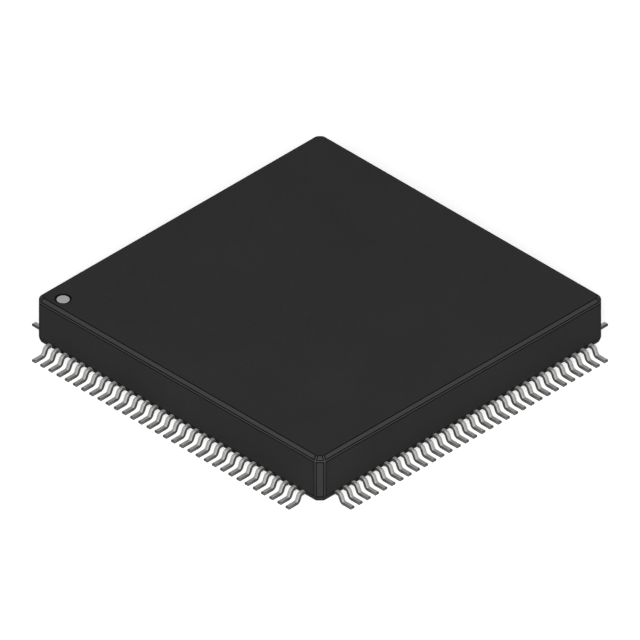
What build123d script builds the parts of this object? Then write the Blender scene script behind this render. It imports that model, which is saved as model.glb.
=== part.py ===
from build123d import *
import math
import os

# Plastic quad flat package: an epoxy body moulded around a stamped copper lead frame,
# with a row of gull-wing leads on each of its four sides. The origin is the centre of the
# seating plane, under the feet. +Z is up, and pin 1 is where the -X side meets the +Y side.
# Sizes are in millimetres and angles in degrees.

# Lead rows
leads_per_side = 32
leads_per_group = 8
lead_pitch = 0.8
row_end_margin = 1.6  # from the centre of a row's last lead to the body's side

# Formed lead, outside the body
lead_width = 0.35
lead_thickness = 0.2
lead_reach = 1.6  # from the body's face to the lead's tip
shoulder_height = 0.57  # from the seating plane to the underside of the lead frame
shoulder_length = 0.26  # level stretch between the body's face and the first bend
slant_angle = 66.5  # below the level shoulder
inside_bend_radius = 0.12
flats_per_bend = 3  # equal flats that make up each bend's arc, few because the leads are many

# Lead fingers, die paddle and tie bars, inside the body
finger_tip_width = 0.25
finger_gap = 0.6  # from the edge of the paddle to the finger tips
tip_end_margin = 0.8  # from a tip row's last finger to the corner of the tip square
paddle_margin = 1.8  # paddle beyond the die, on each side
tie_bar_width = 0.4
tie_bar_cover = 0.35  # moulding left between a tie bar's end and the body's corner

# Chip and the adhesive under it
die_size = 9.2
die_thickness = 0.4
adhesive_margin = 0.15  # adhesive squeezed out beyond the die, on each side
adhesive_thickness = 0.03

# Moulded body, whose mould parts on the level of the lead frame's top
body_height = 4.05  # from the seating plane to the top face
standoff = 0.32  # from the seating plane to the underside of the body
underside_inset = 0.18  # how far the lower mould half draws in below the parting line
corner_cut = 0.5  # leg of the bevel on each upright corner
top_bevel = 0.3
edge_rounding = 0.3  # of the upright edges and of the edge below the top bevel

# Pin 1 mark: a disc of ink in a moulded dimple
dimple_diameter = 1.12
mark_diameter = 0.9
mark_from_pin_side = 1.19  # mark's centre to the body face that pin 1 leaves
mark_from_end_side = 1.69  # mark's centre to the body face beside pin 1
dimple_depth = 0.06
ink_thickness = 0.03

# Ejector pin marks in the underside
ejector_diameter = 2.0
ejector_depth = 0.05
ejector_inset = 4.5  # from the body's sides to a mark's centre

# Sizes that follow from those above
body_size = (leads_per_side - 1) * lead_pitch + 2 * row_end_margin
body_half = body_size / 2
frame_top = shoulder_height + lead_thickness
paddle_size = die_size + 2 * paddle_margin
tip_distance = paddle_size / 2 + finger_gap
tip_pitch = 2 * (tip_distance - tip_end_margin) / (leads_per_side - 1)
outside_bend_radius = inside_bend_radius + lead_thickness


def block(width, bottom, height):
    """A square block that is centred on the package, standing on the level given."""
    return Pos(0, 0, bottom) * extrude(Rectangle(width, width), height)


def bent_line(corners, radii):
    """A line past the corners given, with each arc at a corner drawn as equal flats."""
    smooth = FilletPolyline(*corners, radius=radii)
    points = [smooth @ 0]
    for edge in smooth.edges():
        steps = flats_per_bend if edge.geom_type == GeomType.CIRCLE else 1
        points += [edge @ (step / steps) for step in range(1, steps + 1)]
    return Polyline(*points)


def formed_lead():
    """The gull wing outside the body, centred on y = 0 and leaving along +X."""
    half_turn = math.tan(math.radians(slant_angle / 2))
    run = shoulder_height / math.tan(math.radians(slant_angle))
    shoulder_corner = body_half + shoulder_length + inside_bend_radius * half_turn
    heel_corner = shoulder_corner + run
    shift = lead_thickness * half_turn
    tip = body_half + lead_reach
    underside = bent_line(
        [
            (body_half, shoulder_height),
            (shoulder_corner, shoulder_height),
            (heel_corner, 0),
            (tip, 0),
        ],
        [inside_bend_radius, outside_bend_radius],
    )
    upper_side = bent_line(
        [
            (body_half, frame_top),
            (shoulder_corner + shift, frame_top),
            (heel_corner + shift, lead_thickness),
            (tip, lead_thickness),
        ],
        [outside_bend_radius, inside_bend_radius],
    )
    root_edge = Line(upper_side @ 0, underside @ 0)
    tip_edge = Line(underside @ 1, upper_side @ 1)
    section = make_face([underside, tip_edge, upper_side, root_edge])
    return extrude(Plane.XZ * section, lead_width / 2, both=True)


def finger(place):
    """The tapered finger from the body's face in to the paddle, for a lead at y = place."""
    tip_place = place * tip_pitch / lead_pitch
    outline = Polyline(
        (body_half, place - lead_width / 2),
        (body_half, place + lead_width / 2),
        (tip_distance, tip_place + finger_tip_width / 2),
        (tip_distance, tip_place - finger_tip_width / 2),
        close=True,
    )
    return Pos(0, 0, shoulder_height) * extrude(make_face(outline), lead_thickness)


def make_row():
    """The leads of one side, leaving along +X, in the order of their pin numbers."""
    gull_wing = formed_lead()
    row = []
    for index in range(leads_per_side):
        place = (index - (leads_per_side - 1) / 2) * lead_pitch
        row.append(Pos(0, place, 0) * gull_wing + finger(place))
    return row


def make_lead_groups():
    """Node name to the leads in it. Pins are counted anticlockwise, seen from above."""
    row = make_row()
    groups = {}
    for side in range(4):
        turn = Rot(0, 0, 180 + 90 * side)
        for first in range(0, leads_per_side, leads_per_group):
            members = [turn * lead for lead in row[first : first + leads_per_group]]
            first_pin = side * leads_per_side + first + 1
            last_pin = first_pin + len(members) - 1
            groups[f"leads_{first_pin:03d}_to_{last_pin:03d}"] = members
    return groups


def make_die_paddle():
    """The plate that carries the chip, with a tie bar out towards each corner."""
    corner_face = (body_size - corner_cut) / math.sqrt(2)
    bar_length = 2 * (corner_face - tie_bar_cover)
    outline = Rectangle(paddle_size, paddle_size)
    for angle in (45, 135):
        outline += Rot(0, 0, angle) * Rectangle(bar_length, tie_bar_width)
    return Pos(0, 0, shoulder_height) * extrude(outline, lead_thickness)


def make_die_adhesive():
    """The film of silver-filled adhesive between the chip and its paddle."""
    return block(die_size + 2 * adhesive_margin, frame_top, adhesive_thickness)


def make_silicon_die():
    """The chip."""
    return block(die_size, frame_top + adhesive_thickness, die_thickness)


def mark_location(level):
    """The pin 1 mark's centre, at a level."""
    return Pos(mark_from_pin_side - body_half, body_half - mark_from_end_side, level)


def make_pin_one_mark():
    """The ink on the floor of the dimple."""
    floor = mark_location(body_height - dimple_depth)
    return floor * extrude(Circle(mark_diameter / 2), ink_thickness)


def make_upper_half():
    """The moulding above the lead frame, with its bevelled top and rounded edges."""
    outline = chamfer(Rectangle(body_size, body_size).vertices(), corner_cut)
    solid = Pos(0, 0, frame_top) * extrude(outline, body_height - frame_top)
    solid = chamfer(solid.faces().sort_by(Axis.Z)[-1].edges(), top_bevel)
    rim_level = body_height - top_bevel
    rim = solid.edges().filter_by_position(Axis.Z, rim_level - 0.01, rim_level + 0.01)
    return fillet(solid.edges().filter_by(Axis.Z) + rim, edge_rounding)


def make_lower_half(upper_half):
    """The moulding round and below the frame, drawn in towards its flat underside."""
    depth = frame_top - standoff
    outline = chamfer(Rectangle(body_size, body_size).vertices(), corner_cut)
    draw = math.degrees(math.atan2(underside_inset, depth))
    solid = Pos(0, 0, frame_top) * extrude(outline, -depth, taper=draw)
    return solid & Pos(0, 0, -depth) * upper_half


def make_package_body(held):
    """The moulding around the frame and chip that it holds, with its dimple and pin marks."""
    upper_half = make_upper_half()
    solid = upper_half + make_lower_half(upper_half)
    solid -= mark_location(body_height) * extrude(Circle(dimple_diameter / 2), -dimple_depth)
    spacing = body_size - 2 * ejector_inset
    for place in GridLocations(spacing, spacing, 2, 2):
        pin = extrude(Circle(ejector_diameter / 2), ejector_depth)
        solid -= Pos(0, 0, standoff) * place * pin
    return solid - held


def save(name, solids):
    """Write one named piece, or one group of like pieces."""
    shape = solids[0] if len(solids) == 1 else Compound(children=solids)
    export_step(shape, f"parts/{name}.step")


def build():
    """Every named piece of the package, with its solids."""
    pieces = {
        "die_paddle": [make_die_paddle()],
        "die_adhesive": [make_die_adhesive()],
        "silicon_die": [make_silicon_die()],
    }
    pieces.update(make_lead_groups())
    held = [solid for solids in pieces.values() for solid in solids]
    pieces["package_body"] = [make_package_body(held)]
    pieces["pin_one_mark"] = [make_pin_one_mark()]
    return pieces


os.makedirs("parts", exist_ok=True)
for name, solids in build().items():
    save(name, solids)
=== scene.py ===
"""A plastic quad flat package with gull-wing leads, dressed for a studio picture.

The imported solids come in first, as the frame. The moulding, the leads and the pin 1 mark
are then modelled again with smooth bends and with rolled and broken edges, in the places
that the frame gives, and the bond wires are added. The paddle, the adhesive and the chip
keep their solids and get their own finishes. Lengths are in millimetres until a mesh is
finished, and in metres after that.
"""

import logging
import math
from collections.abc import Callable
from dataclasses import dataclass
from enum import Enum
from itertools import chain

import bmesh
import bpy
from bmesh.types import BMEdge, BMesh, BMFace, BMLoop, BMVert
from bpy.types import Material, Node, NodeSocket, NodeTree, Object
from mathutils import Matrix, Vector

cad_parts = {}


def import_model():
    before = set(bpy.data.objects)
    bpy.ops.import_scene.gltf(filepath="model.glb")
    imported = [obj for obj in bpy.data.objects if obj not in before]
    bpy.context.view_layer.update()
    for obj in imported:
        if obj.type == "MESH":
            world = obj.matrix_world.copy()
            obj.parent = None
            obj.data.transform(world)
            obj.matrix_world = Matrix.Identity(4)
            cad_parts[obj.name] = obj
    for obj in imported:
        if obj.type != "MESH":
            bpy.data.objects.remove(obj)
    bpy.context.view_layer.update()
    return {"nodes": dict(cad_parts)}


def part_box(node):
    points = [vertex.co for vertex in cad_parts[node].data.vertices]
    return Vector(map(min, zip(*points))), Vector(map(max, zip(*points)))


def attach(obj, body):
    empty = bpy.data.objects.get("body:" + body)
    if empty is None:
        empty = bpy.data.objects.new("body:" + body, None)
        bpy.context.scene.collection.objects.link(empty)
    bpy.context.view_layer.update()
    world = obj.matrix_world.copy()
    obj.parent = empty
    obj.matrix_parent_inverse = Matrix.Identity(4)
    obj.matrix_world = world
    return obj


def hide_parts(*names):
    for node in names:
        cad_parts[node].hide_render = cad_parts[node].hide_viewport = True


LOG = logging.getLogger("quad_flat_package")
MM = 0.001
ROOT_BODY = "root"
LEADS_PER_SIDE = 32
LEVEL = 0.9999  # a face whose normal points up or down by this much or more is level
SQUARE = 0.99  # a face whose normal lies along one axis by more than this is square to it
CLOSE_MM = 1e-4  # two heights that differ by less than this are one
NOISE_RANGE = (0.3, 0.7)  # nearly all of a noise texture's values lie between these
PAINTED_HIGHLIGHT = "painted_highlight"
SHADE_AND_EDGE_LINES = "painted_shade_and_edge_lines"


class Side(Enum):
    """The four sides in the order of their pins, with the way that their leads point."""

    LEFT = 180
    FRONT = 270
    RIGHT = 0
    BACK = 90

    @property
    def turn(self) -> Matrix:
        """The turn from a row that points along +X to this side's row."""
        return Matrix.Rotation(math.radians(self.value), 3, "Z")


class MouldWall(Enum):
    """How the mould is finished, as places in the moulding's list of materials.

    It is pitted by the spark all over, but ground smooth on its pins and in the narrow
    strips where two of its surfaces run into each other. The ground parts are painted near
    black: thin dark lines along the strips, and painted shade in the pin recesses and the
    rings round them.
    """

    PITTED = 0
    # near black: thin dark lines along the narrow strips, and painted shade in the pin recesses
    GROUND = 1


class Slot(Enum):
    """The record's material slots, one for each kind of new piece; nothing assigns them."""

    MOULDING = "epoxy_moulding_compound"
    INK = "marking_ink"
    LEAD = "tin_plated_copper_alloy"
    WIRE = "gold_wire"


def linear(hex_colour: str) -> tuple[float, float, float, float]:
    """Turns an sRGB hex colour to the linear colour that shaders use.

    Args:
        hex_colour: Six hex digits with a leading hash, such as "#2F2F2F".

    Returns:
        Linear red, green and blue, with an alpha of 1.
    """
    parts = [int(hex_colour[place : place + 2], 16) / 255 for place in (1, 3, 5)]
    curved = [c / 12.92 if c <= 0.04045 else ((c + 0.055) / 1.055) ** 2.4 for c in parts]
    return (curved[0], curved[1], curved[2], 1.0)


def per_metre(size_mm: float) -> float:
    """The scale of a texture on Object coordinates whose features are size_mm across."""
    return 1 / (size_mm * MM)


def along_row(index: int) -> float:
    """Where a lead comes in its row, from -1 for the first to 1 for the last."""
    return 2 * index / (LEADS_PER_SIDE - 1) - 1


def add_node(
    tree: NodeTree,
    kind: str,
    settings: dict[str, object] | None = None,
    inputs: dict[str | int, object] | None = None,
) -> Node:
    """Adds a node with its settings and links.

    Args:
        tree: The tree that the node joins.
        kind: The node's type, such as "ShaderNodeTexNoise".
        settings: The node's own properties, by name.
        inputs: For each input, by name or number, a value or the socket that feeds it.

    Returns:
        The new node.
    """
    node = tree.nodes.new(kind)
    for name, value in (settings or {}).items():
        setattr(node, name, value)
    for name, value in (inputs or {}).items():
        if isinstance(value, NodeSocket):
            tree.links.new(value, node.inputs[name])
        else:
            node.inputs[name].default_value = value
    return node


@dataclass(frozen=True)
class Finish:
    """A surface finish. Each kind shades itself in its own way."""

    name: str

    def shade(self, tree: NodeTree) -> NodeSocket:
        """Adds this finish's nodes.

        Args:
            tree: The material's empty tree.

        Returns:
            The socket of the finished surface.
        """
        raise NotImplementedError

    def material(self) -> Material:
        """Makes the material.

        Returns:
            A new material with this finish's nodes.
        """
        made = bpy.data.materials.new(self.name)
        made.use_nodes = True
        tree = made.node_tree
        tree.nodes.clear()
        surface = self.shade(tree)
        add_node(tree, "ShaderNodeOutputMaterial", inputs={"Surface": surface})
        return made


@dataclass(frozen=True)
class MouldedEpoxy(Finish):
    """Epoxy moulding compound: black resin packed with silica, from a spark-eroded mould.

    The mould's fine pits make the surface matte. Silica grains near the skin show as
    faint paler specks, and the flow of the resin leaves it a little uneven. The bevels and
    roundings above the parting line are painted paler, as a painted highlight, and the flats
    of the corner cuts half as much. Where the mould is ground smooth instead, the moulding
    has another finish.
    """

    dark_hex: str = "#1F1F1F"
    pale_hex: str = "#282828"
    speck_hex: str = "#3A3A3A"
    # the painted highlight: bevels and corner-cut flats are painted this paler grey
    painted_highlight_hex: str = "#373737"
    pit_mm: float = 0.11  # real pits are under 0.02 mm, so they are drawn coarser to show
    flow_mm: float = 5.0
    speck_mm: float = 0.16
    speck_share: float = 0.12  # a speck's radius, as a share of the space between specks
    speck_strength: float = 0.5
    pit_depth_mm: float = 0.006
    pit_strength: float = 0.6
    gloss: float = 0.12  # under a flat resin's 0.5, because the pits swallow part of the shine
    smoothest: float = 0.62
    roughest: float = 0.78

    def shade(self, tree: NodeTree) -> NodeSocket:
        """Adds this finish's nodes.

        Args:
            tree: The material's empty tree.

        Returns:
            The socket of the finished surface.
        """
        place = add_node(tree, "ShaderNodeTexCoord").outputs["Object"]
        pits = add_node(
            tree,
            "ShaderNodeTexNoise",
            inputs={"Vector": place, "Scale": per_metre(self.pit_mm), "Detail": 3.0},
        )
        flow = add_node(
            tree,
            "ShaderNodeTexNoise",
            inputs={"Vector": place, "Scale": per_metre(self.flow_mm), "Detail": 4.0},
        )
        grains = add_node(
            tree,
            "ShaderNodeTexVoronoi",
            inputs={"Vector": place, "Scale": per_metre(self.speck_mm)},
        )
        tone = add_node(
            tree,
            "ShaderNodeMix",
            settings={"data_type": "RGBA"},
            inputs={"Factor": flow.outputs["Fac"], 6: linear(self.dark_hex), 7: linear(self.pale_hex)},
        )
        near_grain = add_node(
            tree,
            "ShaderNodeMapRange",
            inputs={
                "Value": grains.outputs["Distance"],
                "From Min": self.speck_share,
                "From Max": 0.0,
                "To Min": 0.0,
                "To Max": self.speck_strength,
            },
        )
        specked = add_node(
            tree,
            "ShaderNodeMix",
            settings={"data_type": "RGBA"},
            inputs={"Factor": near_grain.outputs["Result"], 6: tone.outputs[2], 7: linear(self.speck_hex)},
        )
        # painted highlight: the marked bevels and corner-cut flats are painted paler
        highlight_mask = add_node(tree, "ShaderNodeAttribute", settings={"attribute_name": PAINTED_HIGHLIGHT})
        highlighted_tone = add_node(
            tree,
            "ShaderNodeMix",
            settings={"data_type": "RGBA"},
            inputs={
                "Factor": highlight_mask.outputs["Fac"],
                6: specked.outputs[2],
                7: linear(self.painted_highlight_hex),
            },
        )
        roughness = add_node(
            tree,
            "ShaderNodeMapRange",
            inputs={
                "Value": pits.outputs["Fac"],
                "From Min": NOISE_RANGE[0],
                "From Max": NOISE_RANGE[1],
                "To Min": self.smoothest,
                "To Max": self.roughest,
            },
        )
        relief = add_node(
            tree,
            "ShaderNodeBump",
            inputs={
                "Height": pits.outputs["Fac"],
                "Distance": self.pit_depth_mm * MM,
                "Strength": self.pit_strength,
            },
        )
        surface = add_node(
            tree,
            "ShaderNodeBsdfPrincipled",
            inputs={
                "Base Color": highlighted_tone.outputs[2],
                "Roughness": roughness.outputs["Result"],
                "Specular IOR Level": self.gloss,
                "Normal": relief.outputs["Normal"],
            },
        )
        return surface.outputs["BSDF"]


@dataclass(frozen=True)
class MatteTin(Finish):
    """Matte tin, electroplated on copper alloy strip before the leads are formed.

    Its crystals scatter light, so the metal is satin and pale, with soft highlights. The
    sides and tips are painted dark, as painted shade, a little lighter beside the rolled
    edges above them and darkest at their foot. The rolled edges are painted just as dark,
    which draws thin dark lines along them.
    """

    metal_hex: str = "#B3B3B1"
    dull_hex: str = "#9E9E9C"
    # painted shade on the sides and tips, and dark lines along the rolled edges
    shade_and_edge_hex: str = "#2C2C2B"
    crystal_mm: float = 0.05  # real crystals are about 0.005 mm, drawn coarser to show
    stain_mm: float = 0.6
    relief_mm: float = 0.0015
    relief_strength: float = 0.5
    metallic: float = 0.42  # under 1, because the crystals scatter much of the light evenly
    smoothest: float = 0.5
    roughest: float = 0.66

    def shade(self, tree: NodeTree) -> NodeSocket:
        """Adds this finish's nodes.

        Args:
            tree: The material's empty tree.

        Returns:
            The socket of the finished surface.
        """
        place = add_node(tree, "ShaderNodeTexCoord").outputs["Object"]
        crystals = add_node(
            tree,
            "ShaderNodeTexNoise",
            inputs={"Vector": place, "Scale": per_metre(self.crystal_mm), "Detail": 2.0},
        )
        stains = add_node(
            tree,
            "ShaderNodeTexNoise",
            inputs={"Vector": place, "Scale": per_metre(self.stain_mm), "Detail": 3.0},
        )
        tone = add_node(
            tree,
            "ShaderNodeMix",
            settings={"data_type": "RGBA"},
            inputs={"Factor": stains.outputs["Fac"], 6: linear(self.metal_hex), 7: linear(self.dull_hex)},
        )
        # painted shade on the sides and tips, and dark lines along the rolled edges
        shade_and_edge_mask = add_node(tree, "ShaderNodeAttribute", settings={"attribute_name": SHADE_AND_EDGE_LINES})
        both = add_node(
            tree,
            "ShaderNodeMix",
            settings={"data_type": "RGBA"},
            inputs={"Factor": shade_and_edge_mask.outputs["Fac"], 6: tone.outputs[2], 7: linear(self.shade_and_edge_hex)},
        )
        roughness = add_node(
            tree,
            "ShaderNodeMapRange",
            inputs={
                "Value": crystals.outputs["Fac"],
                "From Min": NOISE_RANGE[0],
                "From Max": NOISE_RANGE[1],
                "To Min": self.smoothest,
                "To Max": self.roughest,
            },
        )
        relief = add_node(
            tree,
            "ShaderNodeBump",
            inputs={
                "Height": crystals.outputs["Fac"],
                "Distance": self.relief_mm * MM,
                "Strength": self.relief_strength,
            },
        )
        surface = add_node(
            tree,
            "ShaderNodeBsdfPrincipled",
            inputs={
                "Base Color": both.outputs[2],
                "Metallic": self.metallic,
                "Roughness": roughness.outputs["Result"],
                "Normal": relief.outputs["Normal"],
            },
        )
        return surface.outputs["BSDF"]


@dataclass(frozen=True)
class SpeckledCoat(Finish):
    """A plain surface with a fine grain: smooth resin, ink, cured paste, metal or silicon.

    The grain shifts the colour from one hex to the other and roughens the surface.
    """

    first_hex: str
    second_hex: str
    grain_mm: float
    metallic: float
    roughness: float
    relief_mm: float
    relief_strength: float = 0.5
    gloss: float = 0.5

    def shade(self, tree: NodeTree) -> NodeSocket:
        """Adds this finish's nodes.

        Args:
            tree: The material's empty tree.

        Returns:
            The socket of the finished surface.
        """
        place = add_node(tree, "ShaderNodeTexCoord").outputs["Object"]
        grain = add_node(
            tree,
            "ShaderNodeTexNoise",
            inputs={"Vector": place, "Scale": per_metre(self.grain_mm), "Detail": 4.0},
        )
        tone = add_node(
            tree,
            "ShaderNodeMix",
            settings={"data_type": "RGBA"},
            inputs={"Factor": grain.outputs["Fac"], 6: linear(self.first_hex), 7: linear(self.second_hex)},
        )
        relief = add_node(
            tree,
            "ShaderNodeBump",
            inputs={
                "Height": grain.outputs["Fac"],
                "Distance": self.relief_mm * MM,
                "Strength": self.relief_strength,
            },
        )
        surface = add_node(
            tree,
            "ShaderNodeBsdfPrincipled",
            inputs={
                "Base Color": tone.outputs[2],
                "Metallic": self.metallic,
                "Roughness": self.roughness,
                "Specular IOR Level": self.gloss,
                "Normal": relief.outputs["Normal"],
            },
        )
        return surface.outputs["BSDF"]


@dataclass(frozen=True)
class WhitePaper(Finish):
    """Matte white paper that is lit to white, which keeps only the soft shadow."""

    paper_hex: str = "#E6E6E6"
    glow: float = 0.65  # what the paper needs to reach white in the picture, shadows aside

    def shade(self, tree: NodeTree) -> NodeSocket:
        """Adds this finish's nodes.

        Args:
            tree: The material's empty tree.

        Returns:
            The socket of the finished surface.
        """
        rays = add_node(tree, "ShaderNodeLightPath")
        paper = add_node(
            tree, "ShaderNodeBsdfDiffuse", inputs={"Color": linear(self.paper_hex), "Roughness": 0.0}
        )
        lift = add_node(
            tree,
            "ShaderNodeMath",
            settings={"operation": "MULTIPLY"},
            inputs={0: rays.outputs["Is Camera Ray"], 1: self.glow},
        )
        glow = add_node(
            tree,
            "ShaderNodeEmission",
            inputs={"Color": linear("#FFFFFF"), "Strength": lift.outputs[0]},
        )
        both = add_node(
            tree,
            "ShaderNodeAddShader",
            inputs={0: paper.outputs["BSDF"], 1: glow.outputs["Emission"]},
        )
        return both.outputs["Shader"]


# Epoxy moulding compound from the ground parts of the mould. The skin there is clear resin
# with no silica in it, so it is smoother and blacker than the rest, and it is painted near
# black: thin dark lines along the narrow strips, and painted shade in the pin recesses and
# their rings. Its gloss is next to nothing, so that these thin lines stay black under the lamps.
GROUND_AND_RECESS_SHADE_EPOXY = SpeckledCoat(
    name="ground_epoxy_and_recess_shade",
    first_hex="#050505",
    second_hex="#060606",
    grain_mm=0.11,
    metallic=0.0,
    roughness=0.4,
    relief_mm=0.002,
    gloss=0.03,
)
# Pale marking ink, stamped in the dimple and cured: matte, and finely grained where it dried.
MARKING_INK = SpeckledCoat(
    name="stamped_ink",
    first_hex="#B8B8B8",
    second_hex="#A6A6A6",
    grain_mm=0.09,
    metallic=0.0,
    roughness=0.7,
    relief_mm=0.002,
)
# Gold wire, drawn through a die: bright, smooth and yellow.
DRAWN_GOLD = SpeckledCoat(
    name="drawn_gold",
    first_hex="#E8B44E",
    second_hex="#D9A441",
    grain_mm=0.1,
    metallic=1.0,
    roughness=0.22,
    relief_mm=0.0005,
)
# Copper alloy strip, cold rolled and left bare: a soft brownish shine.
ROLLED_COPPER = SpeckledCoat(
    name="rolled_copper_strip",
    first_hex="#C08A62",
    second_hex="#A87550",
    grain_mm=0.2,
    metallic=1.0,
    roughness=0.35,
    relief_mm=0.001,
)
# Epoxy paste full of silver flakes, squeezed out and oven cured: a dull grey glint.
SILVER_ADHESIVE = SpeckledCoat(
    name="silver_adhesive",
    first_hex="#B4B2AC",
    second_hex="#8F8D88",
    grain_mm=0.08,
    metallic=0.3,
    roughness=0.6,
    relief_mm=0.003,
)
# Silicon, sawn from a polished wafer: dark and blue-grey, with clear reflections.
POLISHED_SILICON = SpeckledCoat(
    name="polished_silicon",
    first_hex="#34363C",
    second_hex="#46484F",
    grain_mm=0.3,
    metallic=0.6,
    roughness=0.18,
    relief_mm=0.0005,
)


def finished_mesh(bm: BMesh, name: str, *materials: Material) -> Object:
    """Turns a bmesh in millimetres to an object in metres, with its materials.

    Level faces are shaded flat and the others smooth, so that the long thin triangles of a
    level face with holes don't show.

    Args:
        bm: The shape, which is freed.
        name: The piece's name.
        materials: Its finishes, in the order of its faces' material numbers.

    Returns:
        The piece, linked to the scene, with its place in its mesh.
    """
    bmesh.ops.recalc_face_normals(bm, faces=bm.faces)
    for face in bm.faces:
        face.smooth = abs(face.normal.z) < LEVEL
    bmesh.ops.scale(bm, vec=(MM, MM, MM), verts=bm.verts)
    mesh = bpy.data.meshes.new(name)
    bm.to_mesh(mesh)
    bm.free()
    for material in materials:
        mesh.materials.append(material)
    piece = bpy.data.objects.new(name, mesh)
    bpy.context.scene.collection.objects.link(piece)
    return piece


def mark_faces(bm: BMesh, name: str, amount: Callable[[BMFace], float]) -> None:
    """Marks each face with an amount from 0 to 1, for the finish to read.

    Args:
        bm: The shape.
        name: The mark's name.
        amount: How strongly a face gets the mark.
    """
    layer = bm.faces.layers.float.new(name)
    bm.normal_update()
    for face in bm.faces:
        face[layer] = amount(face)


def mark_corners(bm: BMesh, name: str, amount: Callable[[BMLoop], float]) -> None:
    """Marks each face's corners with amounts from 0 to 1, which blend across the face.

    Args:
        bm: The shape.
        name: The mark's name.
        amount: How strongly a corner gets the mark.
    """
    layer = bm.loops.layers.float.new(name)
    bm.normal_update()
    for face in bm.faces:
        for loop in face.loops:
            loop[layer] = amount(loop)


def cast_on(face: BMFace, blackened: bool) -> None:
    """Gives a face the pitted finish, unless it is blackened: near black, as dark lines on narrow strips
    and as painted shade in the pin recesses.
    """
    face.material_index = (MouldWall.GROUND if blackened else MouldWall.PITTED).value


def round_off(bm: BMesh, edges: list[BMEdge], offset: float, segments: int) -> None:
    """Bevels edges, round where there is more than one segment.

    Args:
        bm: The shape.
        edges: The edges.
        offset: How far from each edge the bevel reaches, in millimetres.
        segments: How many flats it has.
    """
    bmesh.ops.bevel(
        bm,
        geom=edges,
        offset=offset,
        offset_type="OFFSET",
        segments=segments,
        profile=0.5,
        affect="EDGES",
        material=-1,
    )


def draw_on(bm: BMesh, face: BMFace, step: Vector) -> BMFace:
    """Draws an end face on in a straight run, and leaves no wall across the inside.

    Args:
        bm: The shape.
        face: The end face so far.
        step: The run, in millimetres.

    Returns:
        The new end face.
    """
    made = bmesh.ops.extrude_face_region(bm, geom=[face])["geom"]
    end = next(item for item in made if isinstance(item, BMFace))
    bmesh.ops.translate(bm, verts=end.verts, vec=step)
    if face.is_valid and all(len(edge.link_faces) > 2 for edge in face.edges):
        bmesh.ops.delete(bm, geom=[face], context="FACES_ONLY")
    return end


def bend_on(bm: BMesh, face: BMFace, centre: Vector, degrees: float, steps: int) -> BMFace:
    """Bends an end face on about an axis along +Y.

    Args:
        bm: The shape.
        face: The end face so far.
        centre: The middle of the bend.
        degrees: The turn, which is down where it is more than 0.
        steps: How many flats make up the bend.

    Returns:
        The new end face.
    """
    made = bmesh.ops.spin(
        bm,
        geom=[face, *face.edges, *face.verts],
        cent=centre,
        axis=(0, 1, 0),
        angle=math.radians(degrees),
        steps=steps,
        use_duplicate=False,
    )["geom_last"]
    return next(item for item in made if isinstance(item, BMFace))


def weigh_normals(piece: Object) -> None:
    """Keeps a piece's wide faces flat, so that only its rounded edges are shaded round.

    Args:
        piece: The piece that gets the modifier.
    """
    modifier = piece.modifiers.new("flat_faces", "WEIGHTED_NORMAL")
    modifier.mode = "FACE_AREA"
    modifier.weight = 100
    modifier.keep_sharp = True


def stand_for(piece: Object, slot: Slot, *nodes: str) -> None:
    """Puts a new piece on the package, in the place of the solids that it stands for.

    Args:
        piece: The new piece.
        slot: The record's slot for the piece; not used.
        nodes: The solids that it replaces, if any.
    """
    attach(piece, ROOT_BODY)
    if nodes:
        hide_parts(*nodes)
    LOG.info("%s: %d faces", piece.name, len(piece.data.polygons))


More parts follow.
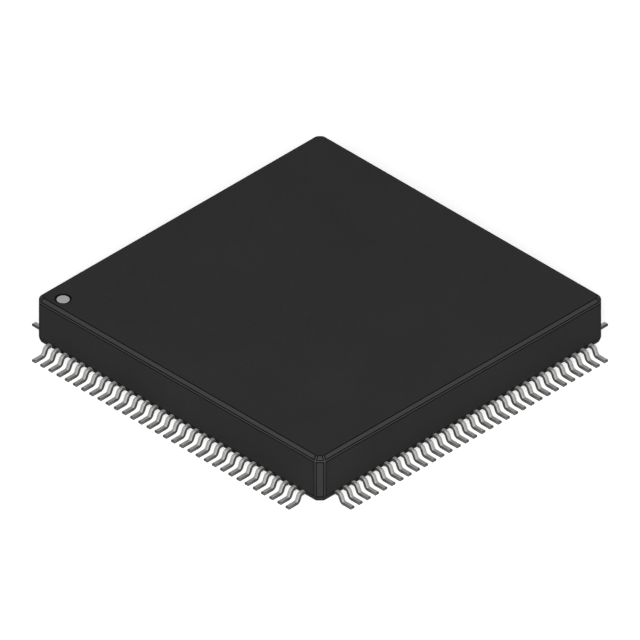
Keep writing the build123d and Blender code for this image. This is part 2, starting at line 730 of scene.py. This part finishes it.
@dataclass
class MouldedBody:
    """The moulding: a square block that is bevelled round its top and at its corners."""

    low: Vector
    high: Vector
    parting_mm: float
    corner_cut_mm: float = 0.5
    top_bevel_mm: float = 0.3
    edge_radius_mm: float = 0.3
    underside_inset_mm: float = 0.18
    sharp_edge_mm: float = 0.04
    narrow_mm: float = 0.09  # a strip is narrower than this, and a broad face is over twice it
    dimple_radius_mm: float = 0.56
    dimple_depth_mm: float = 0.06
    ejector_radius_mm: float = 1.0
    ejector_inset_mm: float = 4.5
    ejector_depth_mm: float = 0.05
    witness_mm: float = 0.06  # the smooth ring that a mould pin's end leaves round its recess, painted near black as shade
    round_segments: int = 3
    sharp_segments: int = 2
    circle_segments: int = 64

    def block(self) -> BMesh:
        """Makes the block with its corner cuts, top bevel and drawn-in lower half.

        Returns:
            The block, with every edge still sharp.
        """
        bm = bmesh.new()
        rim = self.high.z - self.top_bevel_mm
        middle = (self.low + self.high) / 2
        middle.z = (self.parting_mm + rim) / 2
        span = Vector((self.high.x - self.low.x, self.high.y - self.low.y, rim - self.parting_mm))
        bmesh.ops.create_cube(bm, size=1.0, matrix=Matrix.LocRotScale(middle, None, span))
        upright = [e for e in bm.edges if abs(e.verts[0].co.z - e.verts[1].co.z) > span.z / 2]
        round_off(bm, upright, self.corner_cut_mm, segments=1)
        bm.normal_update()
        top = max(bm.faces, key=lambda face: face.calc_center_median().z)
        bottom = min(bm.faces, key=lambda face: face.calc_center_median().z)
        bmesh.ops.inset_region(
            bm, faces=[top], thickness=self.top_bevel_mm, depth=self.top_bevel_mm, use_even_offset=True
        )
        bmesh.ops.inset_region(
            bm,
            faces=[bottom],
            thickness=self.underside_inset_mm,
            depth=self.parting_mm - self.low.z,
            use_even_offset=True,
        )
        return bm

    def round_edges(self, bm: BMesh) -> None:
        """Rounds the upright edges and the top bevel, and breaks the sharp edges.

        Args:
            bm: The sharp block.
        """
        near = self.sharp_edge_mm

        def spans(edge: BMEdge, low: float, high: float) -> bool:
            """Whether an edge lies between two levels."""
            return all(low - near < vert.co.z < high + near for vert in edge.verts)

        rounded = [
            edge
            for edge in bm.edges
            if spans(edge, self.parting_mm, self.high.z)
            and not spans(edge, self.high.z, self.high.z)
            and not spans(edge, self.parting_mm, self.parting_mm)
        ]
        turn = math.radians(45)  # from face to face, at every one of these edges
        round_off(bm, rounded, self.edge_radius_mm * math.tan(turn / 2), self.round_segments)
        sharp = [
            edge
            for edge in bm.edges
            if spans(edge, self.high.z, self.high.z)
            or spans(edge, self.parting_mm, self.parting_mm)
            or spans(edge, self.low.z, self.low.z)
        ]
        round_off(bm, sharp, self.sharp_edge_mm, self.sharp_segments)

    def sink_rounds(
        self, bm: BMesh, level: float, centres: list[Vector], radius: float, depth: float
    ) -> None:
        """Sinks round recesses in the flat face at a level, each in its smooth ring, and paints
        ring and recess near black, as painted shade.

        Each has its brink and the foot of its wall rounded by a third of its depth.

        Args:
            bm: The block.
            level: The height of the flat face.
            centres: The middle of each recess.
            radius: The radius of each.
            depth: How far each goes in, as a rise in z, so less than 0 from the top.
        """
        before = set(bm.faces)
        ring_radius = radius + self.witness_mm
        flat = [f for f in bm.faces if all(abs(v.co.z - level) < CLOSE_MM for v in f.verts)]
        face = max(flat, key=lambda f: f.calc_area())
        outline = list(face.edges)
        bmesh.ops.delete(bm, geom=[face], context="FACES_ONLY")
        rings: list[list[BMEdge]] = []
        for centre in centres:
            verts = bmesh.ops.create_circle(
                bm,
                cap_ends=False,
                radius=ring_radius,
                segments=self.circle_segments,
                matrix=Matrix.Translation((centre.x, centre.y, level)),
            )["verts"]
            rings.append(list(dict.fromkeys(edge for vert in verts for edge in vert.link_edges)))
        bmesh.ops.triangle_fill(
            bm, use_beauty=True, use_dissolve=False, edges=[*outline, *chain.from_iterable(rings)]
        )
        for centre, ring in zip(centres, rings):
            brink = self.step_in(bm, ring, centre, radius / ring_radius, 0.0)
            floor = self.step_in(bm, brink, centre, 1.0, depth)
            bmesh.ops.contextual_create(bm, geom=floor)
            round_off(bm, [*brink, *floor], abs(depth) / 3, self.sharp_segments)
        # each ring and recess is painted near black, as painted shade
        for face in bm.faces:
            if face not in before:
                middle = face.calc_center_median()
                cast_on(face, any((middle - centre).xy.length < ring_radius for centre in centres))

    def step_in(
        self, bm: BMesh, ring: list[BMEdge], centre: Vector, shrink: float, rise: float
    ) -> list[BMEdge]:
        """Adds a band of faces along a ring of edges, inward or upward.

        Args:
            bm: The block.
            ring: The edges, once round.
            centre: The middle of the ring.
            shrink: How much smaller the band's far side is, where 1 is the same size.
            rise: How much higher it is.

        Returns:
            The edges of the band's far side.
        """
        made = bmesh.ops.extrude_edge_only(bm, edges=ring)["geom"]
        verts = [item for item in made if isinstance(item, BMVert)]
        for vert in verts:
            vert.co.xy = centre.xy + (vert.co.xy - centre.xy) * shrink
            vert.co.z += rise
        return [
            item
            for item in made
            if isinstance(item, BMEdge) and all(vert in verts for vert in item.verts)
        ]

    def painted_highlight_amount(self, face: BMFace) -> float:
        """How much painted highlight a face gets.

        Args:
            face: A face of the block.

        Returns:
            1 on a bevel or a rounding above the parting line, half on the flat of a corner
            cut, which stands upright, and 0 elsewhere.
        """
        if max(map(abs, face.normal)) > SQUARE or face.calc_center_median().z < self.parting_mm:
            return 0.0
        upright = abs(face.normal.z) < 1 - SQUARE
        return 0.5 if upright and self.is_broad(face) else 1.0

    def breadth(self, face: BMFace) -> float:
        """How broad a face is across its longest edge, in millimetres."""
        return face.calc_area() / max(edge.calc_length() for edge in face.edges)

    def is_broad(self, face: BMFace) -> bool:
        """Whether a face is broad, and so no strip or rounding."""
        return self.breadth(face) > 2 * self.narrow_mm

    def is_run_out(self, face: BMFace) -> bool:
        """Whether a face is a narrow strip round a broad one, where two surfaces meet."""
        beside = (other for vert in face.verts for other in vert.link_faces)
        return self.breadth(face) < self.narrow_mm and any(map(self.is_broad, beside))

    def build(self, mark_centre: Vector, walls: dict[MouldWall, Finish]) -> Object:
        """Builds the moulding.

        Args:
            mark_centre: The middle of the pin 1 mark.
            walls: The finish that each way of finishing the mould gives.

        Returns:
            The finished piece.
        """
        bm = self.block()
        self.round_edges(bm)
        # painted highlight on the bevels and roundings above the parting line
        mark_faces(bm, PAINTED_HIGHLIGHT, self.painted_highlight_amount)
        for face in bm.faces:
            cast_on(face, self.is_run_out(face))
        self.sink_rounds(bm, self.high.z, [mark_centre], self.dimple_radius_mm, -self.dimple_depth_mm)
        reach = self.high.x - self.ejector_inset_mm
        centres = [Vector((x, y, 0)) for x in (-reach, reach) for y in (-reach, reach)]
        self.sink_rounds(bm, self.low.z, centres, self.ejector_radius_mm, self.ejector_depth_mm)
        piece = finished_mesh(bm, "moulded_body", *(walls[wall].material() for wall in MouldWall))
        weigh_normals(piece)
        return piece


@dataclass
class LeadFrame:
    """The leads, with the fingers that run in to the chip. A row points along +X."""

    body_half_mm: float
    tip_mm: float  # from the package's middle to the tips of the leads
    frame_low_mm: float  # from the seating plane to the underside of the frame
    finger_tip_mm: float  # from the package's middle to the tips of the fingers
    finger_end_margin_mm: float = 0.8  # from a row's last finger to the corner of the tips
    pitch_mm: float = 0.8
    width_mm: float = 0.35
    thickness_mm: float = 0.2
    shoulder_mm: float = 0.26
    slant_deg: float = 66.5
    inside_radius_mm: float = 0.12
    finger_tip_width_mm: float = 0.25
    root_mm: float = 0.3  # the straight stretch in the moulding, before the finger turns in
    rolled_edge_mm: float = 0.04
    least_corner_deg: float = 60.0  # an edge that turns less is a joint between two flats
    least_rise: float = 0.2  # an upper face's normal points up by more than this
    side_share: float = 0.9  # a side's normal points across the lead by more than this
    roll_share: float = 0.5  # and so does a rolled edge's beside it, by more than this
    shade_share_beside_roll: float = 0.7  # how much painted shade a side or tip gets where it starts, beside a rolled edge
    bend_steps: int = 4

    def place(self, index: int) -> float:
        """How far along its row a lead is, in millimetres, from the row's middle."""
        return (index - (LEADS_PER_SIDE - 1) / 2) * self.pitch_mm

    def finger_place(self, index: int) -> float:
        """How far along its row a finger's tip is, in millimetres."""
        return (self.finger_tip_mm - self.finger_end_margin_mm) * along_row(index)

    def add_finger(self, bm: BMesh, index: int) -> BMFace:
        """Adds one lead's finger to a row's mesh, tapered to its root and then straight.

        Args:
            bm: The mesh, which holds whole leads.
            index: The lead's number in its row, from 0.

        Returns:
            The end face at the start of the first bend.
        """
        low, high = self.frame_low_mm, self.frame_low_mm + self.thickness_mm
        tip_place, root_place = self.finger_place(index), self.place(index)
        half = self.finger_tip_width_mm / 2
        left, right = tip_place - half, tip_place + half
        corners = ((left, low), (right, low), (right, high), (left, high))
        face = bm.faces.new([bm.verts.new((self.finger_tip_mm, *corner)) for corner in corners])
        taper = self.body_half_mm - self.root_mm - self.finger_tip_mm
        face = draw_on(bm, face, Vector((taper, 0, 0)))
        for vert in face.verts:
            side = 1 if vert.co.y > tip_place else -1
            vert.co.y = root_place + side * self.width_mm / 2
        return draw_on(bm, face, Vector((self.root_mm + self.shoulder_mm, 0, 0)))

    def add_gull_wing(self, bm: BMesh, face: BMFace, root_place: float) -> None:
        """Adds the two bends, with the slant between them, and the foot.

        Args:
            bm: The mesh.
            face: The end face at the start of the first bend.
            root_place: How far along its row the lead is.
        """
        low = self.frame_low_mm
        turn = math.radians(self.slant_deg)
        outside_radius = self.inside_radius_mm + self.thickness_mm
        drop = (self.inside_radius_mm + outside_radius) * (1 - math.cos(turn))
        run = (low - drop) / math.sin(turn)
        knee = Vector((self.body_half_mm + self.shoulder_mm, root_place, low - self.inside_radius_mm))
        face = bend_on(bm, face, knee, self.slant_deg, self.bend_steps)
        face = draw_on(bm, face, Vector((run * math.cos(turn), 0, -run * math.sin(turn))))
        reach = max(vert.co.x for vert in face.verts)
        heel = Vector((reach + self.inside_radius_mm * math.sin(turn), root_place, outside_radius))
        face = bend_on(bm, face, heel, -self.slant_deg, self.bend_steps)
        foot_start = face.calc_center_median().x
        draw_on(bm, face, Vector((self.tip_mm - foot_start, 0, 0)))

    def roll_edges(self, bm: BMesh, before: set[BMEdge]) -> None:
        """Rolls a lead's upper edges over, as the punch does. The lower ones stay sharp.

        Args:
            bm: The mesh.
            before: The edges of the leads before this one.
        """
        bm.normal_update()
        root = self.body_half_mm - self.root_mm
        upper = [
            edge
            for edge in bm.edges
            if edge not in before
            and edge.calc_face_angle() > math.radians(self.least_corner_deg)
            and any(side.normal.z > self.least_rise for side in edge.link_faces)
            and all(vert.co.x > root - self.rolled_edge_mm for vert in edge.verts)
        ]
        round_off(bm, upper, self.rolled_edge_mm, segments=1)

    def add_lead(self, bm: BMesh, index: int) -> None:
        """Adds one lead to a row's mesh: finger, shoulder, two bends and foot.

        Args:
            bm: The mesh, which holds whole leads.
            index: The lead's number in its row, from 0.
        """
        before = set(bm.edges)
        face = self.add_finger(bm, index)
        self.add_gull_wing(bm, face, self.place(index))
        self.roll_edges(bm, before)

    def is_cut(self, face: BMFace) -> bool:
        """Whether a face is a lead's side or tip."""
        return abs(face.normal.y) > self.side_share or face.normal.x > SQUARE

    def is_rolled(self, face: BMFace) -> bool:
        """Whether a face is a rolled edge, between a lead's upper face and its side or tip."""
        near_tip = face.calc_center_median().x > self.tip_mm - self.rolled_edge_mm
        return not self.is_cut(face) and (abs(face.normal.y) > self.roll_share or near_tip)

    def shade_and_edge_amount(self, corner: BMLoop) -> float:
        """How dark a face is painted at one of its corners.

        Args:
            corner: A face's corner, in a row that points along +X.

        Returns:
            1 on a rolled edge, as a dark line, less where a side or tip starts below it,
            1 again at its foot, and 0 elsewhere. On a side or tip this is painted shade.
        """
        face = corner.face
        if face.calc_center_median().x < self.body_half_mm - self.root_mm:
            return 0.0
        # sides and tips: painted shade, a little lighter beside a rolled edge
        if self.is_cut(face):
            return self.shade_share_beside_roll if any(map(self.is_rolled, corner.vert.link_faces)) else 1.0
        return float(self.is_rolled(face))

    def build(self, node: str, finish: Material) -> Object:
        """Builds the leads of one node, which its name gives as first and last pin.

        Args:
            node: The node, such as "leads_001_to_008".
            finish: The plating.

        Returns:
            The finished piece.
        """
        first_pin, last_pin = (int(part) for part in node.split("_")[1::2])
        side = list(Side)[(first_pin - 1) // LEADS_PER_SIDE]
        bm = bmesh.new()
        for pin in range(first_pin, last_pin + 1):
            self.add_lead(bm, (pin - 1) % LEADS_PER_SIDE)
        # painted shade on the sides and tips, and dark lines on the rolled edges
        mark_corners(bm, SHADE_AND_EDGE_LINES, self.shade_and_edge_amount)
        bmesh.ops.rotate(bm, cent=(0, 0, 0), matrix=side.turn, verts=bm.verts)
        piece = finished_mesh(bm, node.replace("leads", "formed_leads"), finish)
        weigh_normals(piece)
        return piece


@dataclass
class BondWires:
    """The gold wires from the chip's edge to the fingers, one to a lead."""

    frame: LeadFrame
    chip_high: Vector  # the corner of the chip at its highest x, y and z
    wire_mm: float = 0.03
    ball_mm: float = 0.075
    ball_height_mm: float = 0.02
    neck_mm: float = 0.005  # the height in which the ball narrows to the wire
    pad_inset_mm: float = 0.12  # from the chip's edge to the middle of a pad
    pad_end_margin_mm: float = 0.26  # from the end of a row of pads to the chip's corner
    landing_mm: float = 0.2  # from a finger's tip to where the wire lands
    loop_radius_mm: float = 0.12
    fall_deg: float = 15.0  # how steeply the wire comes down
    around: int = 6
    loop_steps: int = 4

    def ends(self, index: int) -> tuple[Vector, Vector]:
        """Finds where a wire starts and lands, for a row that points along +X.

        Args:
            index: The lead's number in its row, from 0.

        Returns:
            The middle of the wire on its pad, and over its finger.
        """
        pad_place = (self.chip_high.y - self.pad_end_margin_mm) * along_row(index)
        pad = Vector((self.chip_high.x - self.pad_inset_mm, pad_place, self.chip_high.z))
        length = self.frame.body_half_mm - self.frame.finger_tip_mm
        share = self.landing_mm / length
        tip_place, root_place = self.frame.finger_place(index), self.frame.place(index)
        level = self.frame.frame_low_mm + self.frame.thickness_mm + self.wire_mm / 2
        across = tip_place + share * (root_place - tip_place)
        return pad, Vector((self.frame.finger_tip_mm + self.landing_mm, across, level))

    def add_wire(self, bm: BMesh, index: int) -> None:
        """Adds one wire to a row's mesh: ball, rise, loop and fall.

        Args:
            bm: The mesh, which holds whole wires.
            index: The lead's number in its row, from 0.
        """
        pad, landing = self.ends(index)
        span = (landing - pad).xy.length
        fall = math.radians(self.fall_deg)
        radius = self.loop_radius_mm
        over = radius * (1 + math.sin(fall))
        top = landing.z + (span - over) * math.tan(fall) - radius * math.cos(fall)
        before = set(bm.verts)
        made = bmesh.ops.create_circle(bm, cap_ends=True, radius=self.ball_mm / 2, segments=self.around)
        face = made["verts"][0].link_faces[0]
        face = draw_on(bm, face, Vector((0, 0, self.ball_height_mm)))
        face = draw_on(bm, face, Vector((0, 0, self.neck_mm)))
        shrink = self.wire_mm / self.ball_mm
        bmesh.ops.scale(bm, vec=(shrink, shrink, 1), verts=face.verts)
        lift = top - pad.z - self.ball_height_mm - self.neck_mm
        face = draw_on(bm, face, Vector((0, 0, lift)))
        centre = Vector((radius, 0, top - pad.z))
        face = bend_on(bm, face, centre, 90 + self.fall_deg, self.loop_steps)
        run = (span - over) / math.cos(fall)
        draw_on(bm, face, Vector((run * math.cos(fall), 0, -run * math.sin(fall))))
        heading = math.atan2(landing.y - pad.y, landing.x - pad.x)
        place = Matrix.Translation(pad) @ Matrix.Rotation(heading, 4, "Z")
        bmesh.ops.transform(bm, matrix=place, verts=[vert for vert in bm.verts if vert not in before])

    def build(self, side: Side, finish: Material) -> Object:
        """Builds one side's wires.

        Args:
            side: The side.
            finish: The gold.

        Returns:
            The finished piece.
        """
        bm = bmesh.new()
        for index in range(LEADS_PER_SIDE):
            self.add_wire(bm, index)
        bmesh.ops.rotate(bm, cent=(0, 0, 0), matrix=side.turn, verts=bm.verts)
        return finished_mesh(bm, f"bond_wires_{side.name.lower()}", finish)


@dataclass
class PinOneMark:
    """The disc of ink on the floor of the dimple."""

    low: Vector
    high: Vector
    rim_mm: float = 0.008  # the rounding of the ink's rim
    segments: int = 64

    def build(self, finish: Finish) -> Object:
        """Builds the disc.

        Args:
            finish: The ink.

        Returns:
            The finished piece.
        """
        bm = bmesh.new()
        middle = (self.low + self.high) / 2
        made = bmesh.ops.create_circle(
            bm,
            cap_ends=True,
            radius=(self.high.x - self.low.x) / 2,
            segments=self.segments,
            matrix=Matrix.Translation((middle.x, middle.y, self.low.z)),
        )
        floor = made["verts"][0].link_faces[0]
        top = draw_on(bm, floor, Vector((0, 0, self.high.z - self.low.z)))
        round_off(bm, list(top.edges), self.rim_mm, segments=2)
        piece = finished_mesh(bm, "ink_dot", finish.material())
        weigh_normals(piece)
        return piece


@dataclass(frozen=True)
class Softbox:
    """A square lamp, which points at the package."""

    name: str
    azimuth_deg: float
    elevation_deg: float
    reach_m: float
    size_m: float
    level: float  # how brightly it lights white paper that faces it, where 1 is white


@dataclass
class Studio:
    """The white floor, the lamps and the camera at the photograph's angle."""

    azimuth_deg: float = -45.0
    elevation_deg: float = 35.264
    aim_height_mm: float = 2.0
    picture_mm: float = 44.26  # the width that the picture takes in
    camera_reach_m: float = 0.25
    camera_clip_m: float = 0.001
    floor_m: float = 4.0
    surround_level: float = 0.2  # how brightly it lights the package, where 1 is white
    softboxes: tuple[Softbox, ...] = (
        Softbox("key_softbox", -56.0, 31.0, reach_m=0.4, size_m=0.2, level=0.6),
        Softbox("fill_softbox", -34.0, 29.0, reach_m=0.4, size_m=0.24, level=0.55),
    )

    def toward(self, azimuth_deg: float, elevation_deg: float) -> Vector:
        """The way out from the package to a lamp or camera.

        Args:
            azimuth_deg: Its bearing, from the front towards the right.
            elevation_deg: Its height above the horizon.

        Returns:
            A unit vector.
        """
        azimuth, elevation = math.radians(azimuth_deg), math.radians(elevation_deg)
        flat = math.cos(elevation)
        return Vector((math.sin(azimuth) * flat, -math.cos(azimuth) * flat, math.sin(elevation)))

    def place(self, item: Object, azimuth_deg: float, elevation_deg: float, reach_m: float) -> None:
        """Links a lamp or camera, and points it at the package.

        Args:
            item: The lamp or camera.
            azimuth_deg: Its bearing, from the front towards the right.
            elevation_deg: Its height above the horizon.
            reach_m: Its distance.
        """
        out = self.toward(azimuth_deg, elevation_deg)
        aim = Vector((0, 0, self.aim_height_mm * MM))
        item.location = aim + out * reach_m
        item.rotation_euler = (-out).to_track_quat("-Z", "Y").to_euler()
        bpy.context.scene.collection.objects.link(item)

    def add_camera(self) -> None:
        """Adds the camera, without perspective, as the photograph is drawn."""
        data = bpy.data.cameras.new("camera")
        data.type = "ORTHO"
        data.ortho_scale = self.picture_mm * MM
        data.clip_start = self.camera_clip_m
        camera = bpy.data.objects.new("camera", data)
        self.place(camera, self.azimuth_deg, self.elevation_deg, self.camera_reach_m)
        bpy.context.scene.camera = camera

    def add_softbox(self, box: Softbox) -> None:
        """Adds a softbox. Its power is what gives its level on paper at its distance.

        Args:
            box: The softbox.
        """
        data = bpy.data.lights.new(box.name, "AREA")
        data.size = box.size_m
        data.energy = box.level * math.pi**2 * box.reach_m**2
        lamp = bpy.data.objects.new(box.name, data)
        self.place(lamp, box.azimuth_deg, box.elevation_deg, box.reach_m)

    def add_world(self) -> None:
        """Adds an even white surround that lights softly but shows as plain white."""
        world = bpy.data.worlds.new("surround")
        world.use_nodes = True
        tree = world.node_tree
        tree.nodes.clear()
        rays = add_node(tree, "ShaderNodeLightPath")
        seen = add_node(
            tree,
            "ShaderNodeMath",
            settings={"operation": "MAXIMUM"},
            inputs={0: rays.outputs["Is Camera Ray"], 1: rays.outputs["Is Glossy Ray"]},
        )
        shown = add_node(
            tree,
            "ShaderNodeMath",
            settings={"operation": "MAXIMUM"},
            inputs={0: seen.outputs[0], 1: rays.outputs["Is Transmission Ray"]},
        )
        strength = add_node(
            tree,
            "ShaderNodeMapRange",
            inputs={"Value": shown.outputs[0], "To Min": self.surround_level, "To Max": 1.0},
        )
        light = add_node(
            tree,
            "ShaderNodeBackground",
            inputs={"Color": linear("#FFFFFF"), "Strength": strength.outputs["Result"]},
        )
        add_node(tree, "ShaderNodeOutputWorld", inputs={"Surface": light.outputs["Background"]})
        bpy.context.scene.world = world

    def add_floor(self) -> None:
        """Adds the floor, white to the camera but for the package's soft shadow."""
        bm = bmesh.new()
        bmesh.ops.create_grid(bm, x_segments=1, y_segments=1, size=self.floor_m / 2 / MM)
        floor = finished_mesh(bm, "floor", WhitePaper("white_paper").material())

    def build(self) -> None:
        """Builds the whole studio."""
        self.add_world()
        for box in self.softboxes:
            self.add_softbox(box)
        self.add_floor()
        self.add_camera()


def dress(frame: dict, node: str, finish: Finish) -> None:
    """Gives a solid that stays in view its own finish.

    Args:
        node: The solid's node.
        finish: Its finish.
    """
    material = finish.material()
    for slot in frame["nodes"][node].material_slots:
        slot.material = material
    LOG.info("%s: finished as %s", node, finish.name)


def box_mm(node: str) -> tuple[Vector, Vector]:
    """A solid's lowest and highest corner, in millimetres."""
    low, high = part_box(node)
    return Vector(low) / MM, Vector(high) / MM


def main() -> None:
    """Loads the frame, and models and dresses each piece."""
    logging.basicConfig(level=logging.INFO, format="%(name)s: %(message)s")
    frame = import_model()
    bpy.context.scene.view_settings.view_transform = "Standard"

    body_low, body_high = box_mm("package_body")
    frame_low, frame_high = box_mm("die_paddle")
    mark_low, mark_high = box_mm("pin_one_mark")
    body = MouldedBody(body_low, body_high, frame_high.z)
    walls = {MouldWall.PITTED: MouldedEpoxy("moulded_epoxy"), MouldWall.GROUND: GROUND_AND_RECESS_SHADE_EPOXY}
    moulding = body.build((mark_low + mark_high) / 2, walls)
    stand_for(moulding, Slot.MOULDING, "package_body")

    stand_for(PinOneMark(mark_low, mark_high).build(MARKING_INK), Slot.INK, "pin_one_mark")

    lead_nodes = sorted(name for name in frame["nodes"] if name.startswith("leads_"))
    row_nodes = [name for name in lead_nodes if int(name.split("_")[1]) > 2 * LEADS_PER_SIDE]
    row_low, row_high = box_mm(row_nodes[0])
    leads = LeadFrame(
        body_half_mm=body_high.x,
        tip_mm=row_high.x,
        frame_low_mm=frame_low.z,
        finger_tip_mm=row_low.x,
        thickness_mm=frame_high.z - frame_low.z,
    )
    plating = MatteTin("matte_tin").material()
    for node in lead_nodes:
        stand_for(leads.build(node, plating), Slot.LEAD, node)

    _, chip_high = box_mm("silicon_die")
    wires = BondWires(leads, chip_high)
    gold = DRAWN_GOLD.material()
    for side in Side:
        stand_for(wires.build(side, gold), Slot.WIRE)

    dress(frame, "die_paddle", ROLLED_COPPER)
    dress(frame, "die_adhesive", SILVER_ADHESIVE)
    dress(frame, "silicon_die", POLISHED_SILICON)

    Studio().build()


if __name__ == "__main__":
    main()
